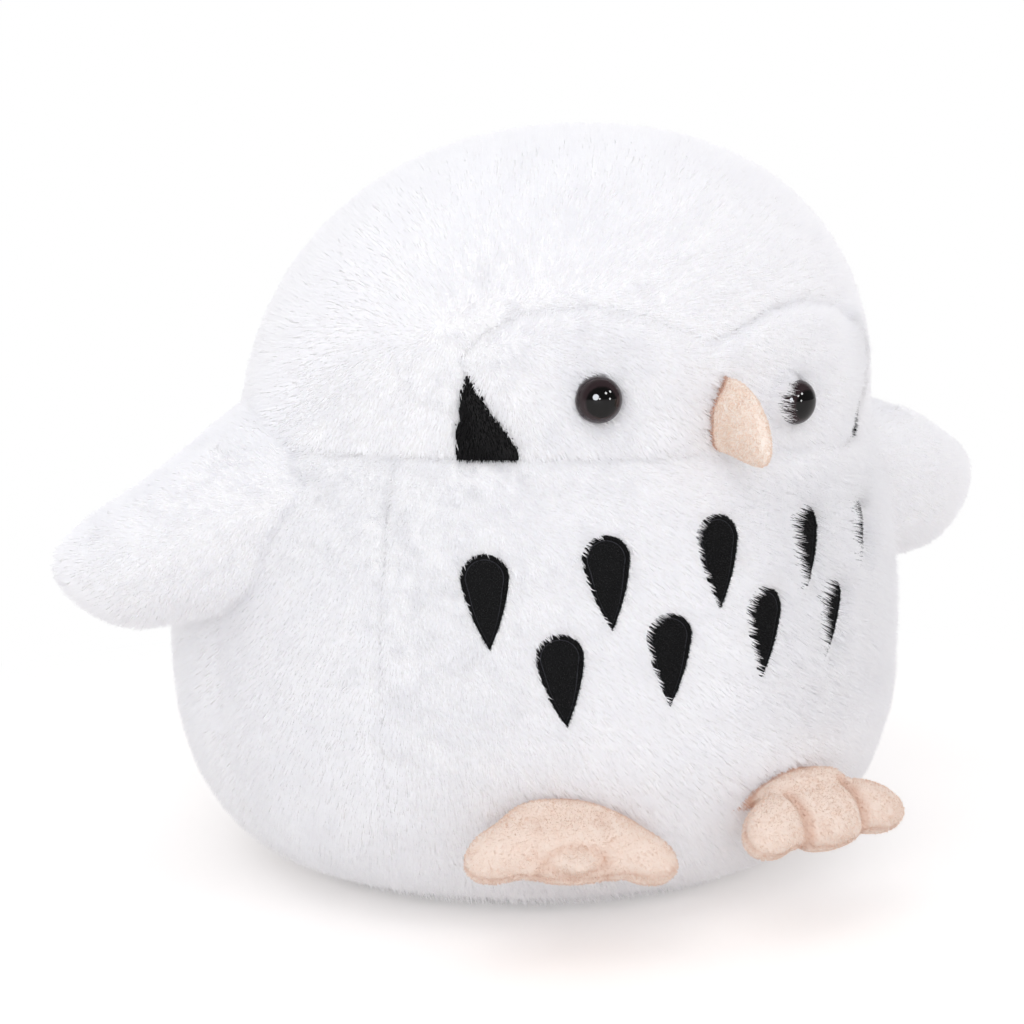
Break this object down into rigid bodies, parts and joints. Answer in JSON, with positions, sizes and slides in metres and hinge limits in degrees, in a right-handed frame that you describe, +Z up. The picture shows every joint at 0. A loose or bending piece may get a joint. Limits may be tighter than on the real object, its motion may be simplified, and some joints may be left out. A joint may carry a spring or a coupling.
{
  "type": "plush owl",
  "caption": "Round stuffed owl of white plush that sits on a flat base, with sewn-on beak and safety eyes, and with wings and feet that bend at their seams.",
  "frame": {"origin": "middle of the flat underside of the base panel, on the surface that the owl sits on", "axes": "+X towards the owl's own left wing, -Y the way that its face looks, +Z up"},
  "size_m": [0.5064, 0.3826, 0.361],
  "materials": {
    "white_plush": "dense white pile",
    "black_plush": "dense black pile",
    "black_embroidered_patch": "flat woven patch with a stitched rim",
    "peach_velour": "short-pile peach velour",
    "fibre_filling": "loose polyester fibre",
    "eye_plastic": "polished, dark brown with a black pupil",
    "washer_plastic": "moulded, natural white"
  },
  "bodies": {
    "owl": {"base_panel": "white_plush", "belly_panel": "white_plush", "side_panel_left": "white_plush", "side_panel_right": "white_plush", "back_panel_left": "white_plush", "back_panel_right": "white_plush", "crown_panel": "white_plush", "face_panel": "white_plush", "cheek_patch_left": "black_plush", "cheek_patch_right": "black_plush", "eye_left": "eye_plastic", "eye_right": "eye_plastic", "eye_washer_left": "washer_plastic", "eye_washer_right": "washer_plastic", "body_fill": "fibre_filling", "head_fill": "fibre_filling", "beak_cover": "peach_velour", "beak_fill": "fibre_filling", "breast_spot_1": "black_embroidered_patch", "breast_spot_2": "black_embroidered_patch", "breast_spot_3": "black_embroidered_patch", "breast_spot_4": "black_embroidered_patch", "breast_spot_5": "black_embroidered_patch", "breast_spot_6": "black_embroidered_patch", "breast_spot_7": "black_embroidered_patch", "breast_spot_8": "black_embroidered_patch", "breast_spot_9": "black_embroidered_patch"},
    "wing_left": {"wing_front_left": "white_plush", "wing_rear_left": "white_plush", "wing_fill_left": "fibre_filling"},
    "wing_right": {"wing_front_right": "white_plush", "wing_rear_right": "white_plush", "wing_fill_right": "fibre_filling"},
    "foot_left": {"foot_top_left": "peach_velour", "foot_sole_left": "peach_velour", "foot_fill_left": "fibre_filling"},
    "foot_right": {"foot_top_right": "peach_velour", "foot_sole_right": "peach_velour", "foot_fill_right": "fibre_filling"}
  },
  "joints": [
    {"name": "wing_left_root", "type": "hinge", "parent": "owl", "child": "wing_left", "pos_m": [0.18828, -0.04062, 0.174], "axis": [0.1538, 0.1674, -0.9738], "range_deg": [-30, 40], "stiffness_Nm_per_rad": 0.03},
    {"name": "wing_right_root", "type": "hinge", "parent": "owl", "child": "wing_right", "pos_m": [-0.18828, -0.04062, 0.174], "axis": [0.1538, -0.1674, 0.9738], "range_deg": [-30, 40], "stiffness_Nm_per_rad": 0.03},
    {"name": "foot_left_root", "type": "hinge", "parent": "owl", "child": "foot_left", "pos_m": [0.04796, -0.16915, 0.063], "axis": [-0.9848, -0.1736, 0], "range_deg": [-15, 35], "stiffness_Nm_per_rad": 0.02},
    {"name": "foot_right_root", "type": "hinge", "parent": "owl", "child": "foot_right", "pos_m": [-0.06943, -0.1624, 0.063], "axis": [-0.9563, 0.2924, 0], "range_deg": [-15, 35], "stiffness_Nm_per_rad": 0.02}
  ]
}
